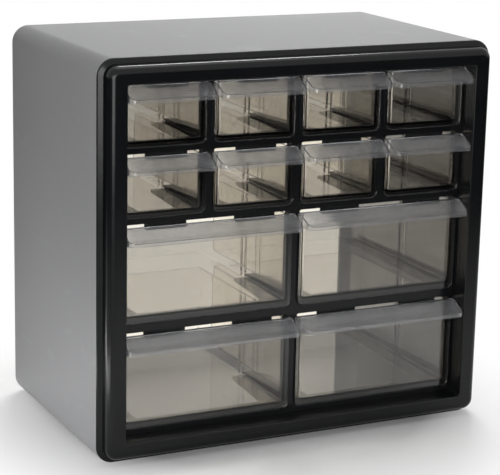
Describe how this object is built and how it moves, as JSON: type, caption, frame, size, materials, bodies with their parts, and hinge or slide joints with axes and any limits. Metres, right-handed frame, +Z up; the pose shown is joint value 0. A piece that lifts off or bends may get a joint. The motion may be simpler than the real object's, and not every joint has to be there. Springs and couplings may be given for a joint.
{
  "type": "parts organizer",
  "caption": "Drawer cabinet for small parts: a grey moulded sleeve, a black front frame with drawer openings and runners, and clear drawers with pull hoods.",
  "frame": {"origin": "on the surface it stands on, under the middle of the cabinet's box", "axes": "+X to the right as seen from the front, +Y towards the back, +Z up; the drawers face and open towards -Y"},
  "size_m": [0.2604, 0.1588, 0.2413],
  "materials": {
    "case_plastic": "mid grey, fine satin grain",
    "frame_plastic": "black, glossy",
    "drawer_plastic": "clear, colourless, with frosted pull hoods"
  },
  "bodies": {
    "housing": {"case_shell": "case_plastic", "front_frame": "frame_plastic"},
    "small_drawer_r1c1": {"small_drawer_r1c1": "drawer_plastic"},
    "small_drawer_r1c2": {"small_drawer_r1c2": "drawer_plastic"},
    "small_drawer_r1c3": {"small_drawer_r1c3": "drawer_plastic"},
    "small_drawer_r1c4": {"small_drawer_r1c4": "drawer_plastic"},
    "small_drawer_r2c1": {"small_drawer_r2c1": "drawer_plastic"},
    "small_drawer_r2c2": {"small_drawer_r2c2": "drawer_plastic"},
    "small_drawer_r2c3": {"small_drawer_r2c3": "drawer_plastic"},
    "small_drawer_r2c4": {"small_drawer_r2c4": "drawer_plastic"},
    "wide_drawer_r3c1": {"wide_drawer_r3c1": "drawer_plastic"},
    "wide_drawer_r3c2": {"wide_drawer_r3c2": "drawer_plastic"},
    "wide_drawer_r4c1": {"wide_drawer_r4c1": "drawer_plastic"},
    "wide_drawer_r4c2": {"wide_drawer_r4c2": "drawer_plastic"}
  },
  "joints": [
    {"name": "small_slide_r1c1", "type": "slide", "parent": "housing", "child": "small_drawer_r1c1", "axis": [0, -1, 0], "range_m": [0, 0.124]},
    {"name": "small_slide_r1c2", "type": "slide", "parent": "housing", "child": "small_drawer_r1c2", "axis": [0, -1, 0], "range_m": [0, 0.124]},
    {"name": "small_slide_r1c3", "type": "slide", "parent": "housing", "child": "small_drawer_r1c3", "axis": [0, -1, 0], "range_m": [0, 0.124]},
    {"name": "small_slide_r1c4", "type": "slide", "parent": "housing", "child": "small_drawer_r1c4", "axis": [0, -1, 0], "range_m": [0, 0.124]},
    {"name": "small_slide_r2c1", "type": "slide", "parent": "housing", "child": "small_drawer_r2c1", "axis": [0, -1, 0], "range_m": [0, 0.124]},
    {"name": "small_slide_r2c2", "type": "slide", "parent": "housing", "child": "small_drawer_r2c2", "axis": [0, -1, 0], "range_m": [0, 0.124]},
    {"name": "small_slide_r2c3", "type": "slide", "parent": "housing", "child": "small_drawer_r2c3", "axis": [0, -1, 0], "range_m": [0, 0.124]},
    {"name": "small_slide_r2c4", "type": "slide", "parent": "housing", "child": "small_drawer_r2c4", "axis": [0, -1, 0], "range_m": [0, 0.124]},
    {"name": "wide_slide_r3c1", "type": "slide", "parent": "housing", "child": "wide_drawer_r3c1", "axis": [0, -1, 0], "range_m": [0, 0.124]},
    {"name": "wide_slide_r3c2", "type": "slide", "parent": "housing", "child": "wide_drawer_r3c2", "axis": [0, -1, 0], "range_m": [0, 0.124]},
    {"name": "wide_slide_r4c1", "type": "slide", "parent": "housing", "child": "wide_drawer_r4c1", "axis": [0, -1, 0], "range_m": [0, 0.124]},
    {"name": "wide_slide_r4c2", "type": "slide", "parent": "housing", "child": "wide_drawer_r4c2", "axis": [0, -1, 0], "range_m": [0, 0.124]}
  ]
}
